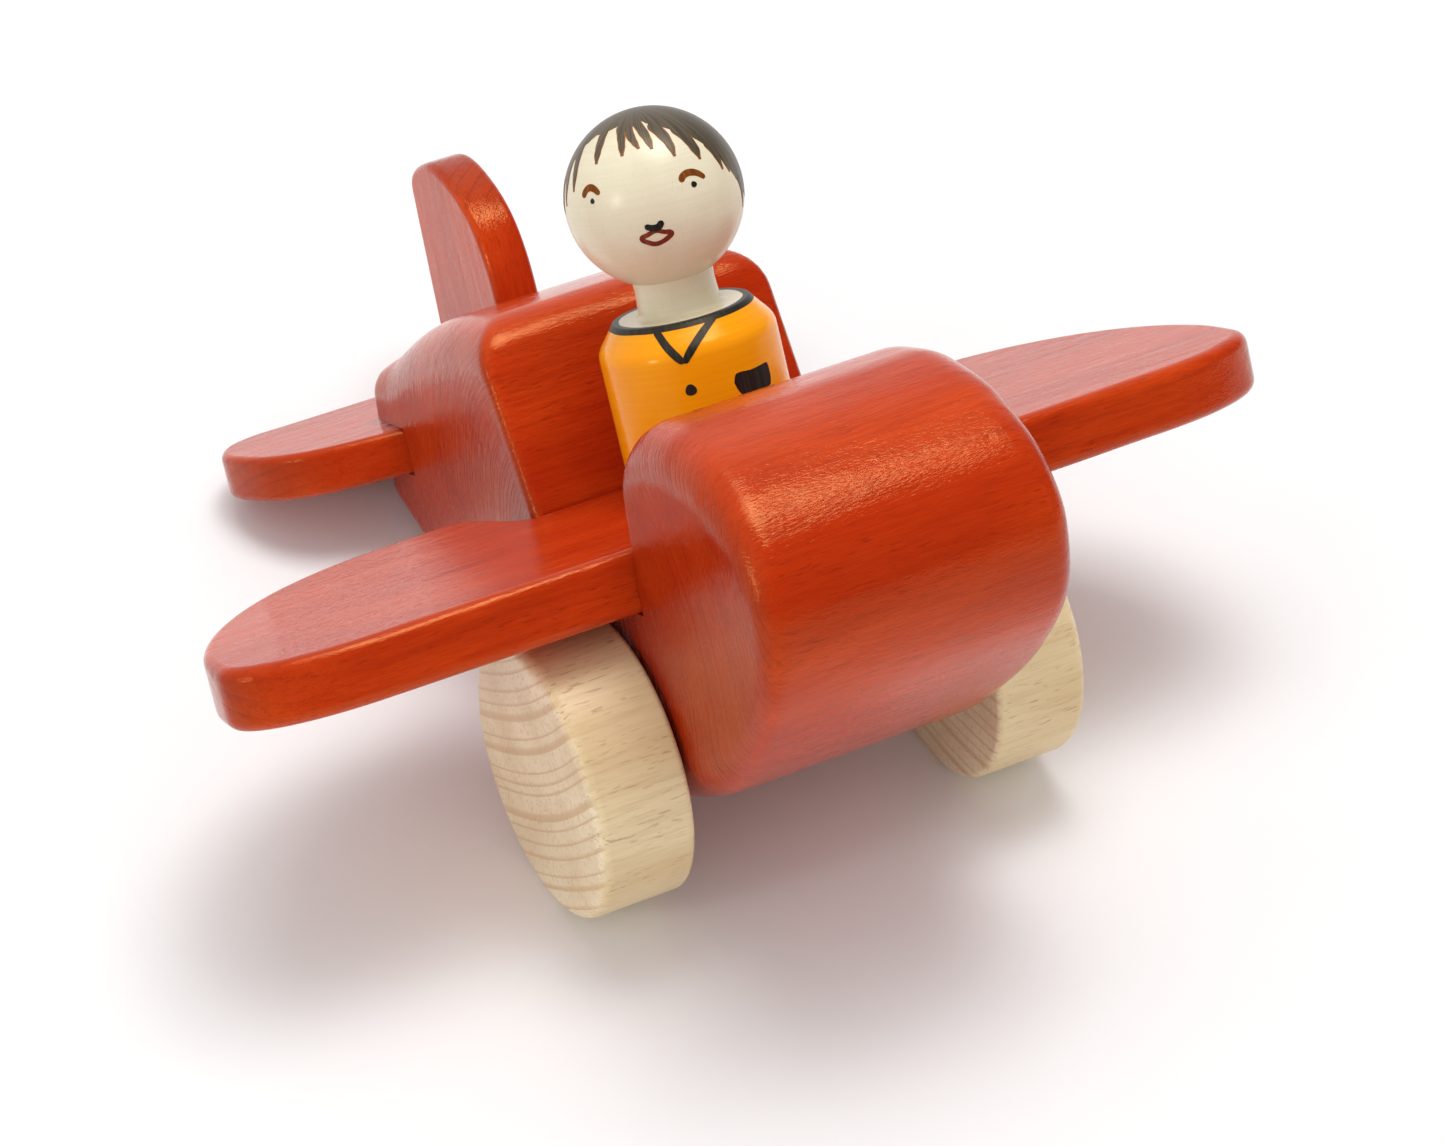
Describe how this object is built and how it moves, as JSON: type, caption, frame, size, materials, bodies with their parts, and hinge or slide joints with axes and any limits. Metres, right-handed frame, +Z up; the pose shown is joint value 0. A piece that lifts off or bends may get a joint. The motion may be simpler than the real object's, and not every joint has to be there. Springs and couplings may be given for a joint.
{
  "type": "toy airplane",
  "caption": "Wooden push-along airplane that stands nose-up on two wheels and its tailplane, with a turned peg pilot in an open cockpit.",
  "frame": {"origin": "on the floor, under the middle of the toy's box as it stands", "axes": "+Z up, -Y to the nose seen from above, +X to the pilot's left; the toy stands nose-up by 28.6 degrees, as it rests on its wheels and tailplane"},
  "size_m": [0.2114, 0.2072, 0.1259],
  "materials": {
    "red_lacquered_wood": "glossy orange-red stain and varnish over beech grain",
    "bare_beech": "smooth satin bare beech",
    "painted_maple": "pale turned wood with orange lacquer body and dark painted lines"
  },
  "bodies": {
    "airframe": {"fuselage": "red_lacquered_wood", "wing": "red_lacquered_wood", "tailplane": "red_lacquered_wood", "fin": "red_lacquered_wood"},
    "wheelset": {"axle": "bare_beech", "wheel_left": "bare_beech", "wheel_right": "bare_beech"},
    "peg": {"pilot_peg": "bare_beech"},
    "pilot_figure": {"pilot": "painted_maple"}
  },
  "joints": [
    {"name": "wheels_spin", "type": "hinge", "parent": "airframe", "child": "wheelset", "pos_m": [0, -0.05172, 0.02699], "axis": [1, 0, 0], "continuous": true},
    {"name": "pilot_lift", "type": "slide", "parent": "airframe", "child": "peg", "axis": [0, 0.4779, 0.8784], "range_m": [0, 0.045]},
    {"name": "pilot_turn", "type": "hinge", "parent": "peg", "child": "pilot_figure", "pos_m": [0, -0.02753, 0.06119], "axis": [0, 0.4779, 0.8784], "continuous": true}
  ]
}
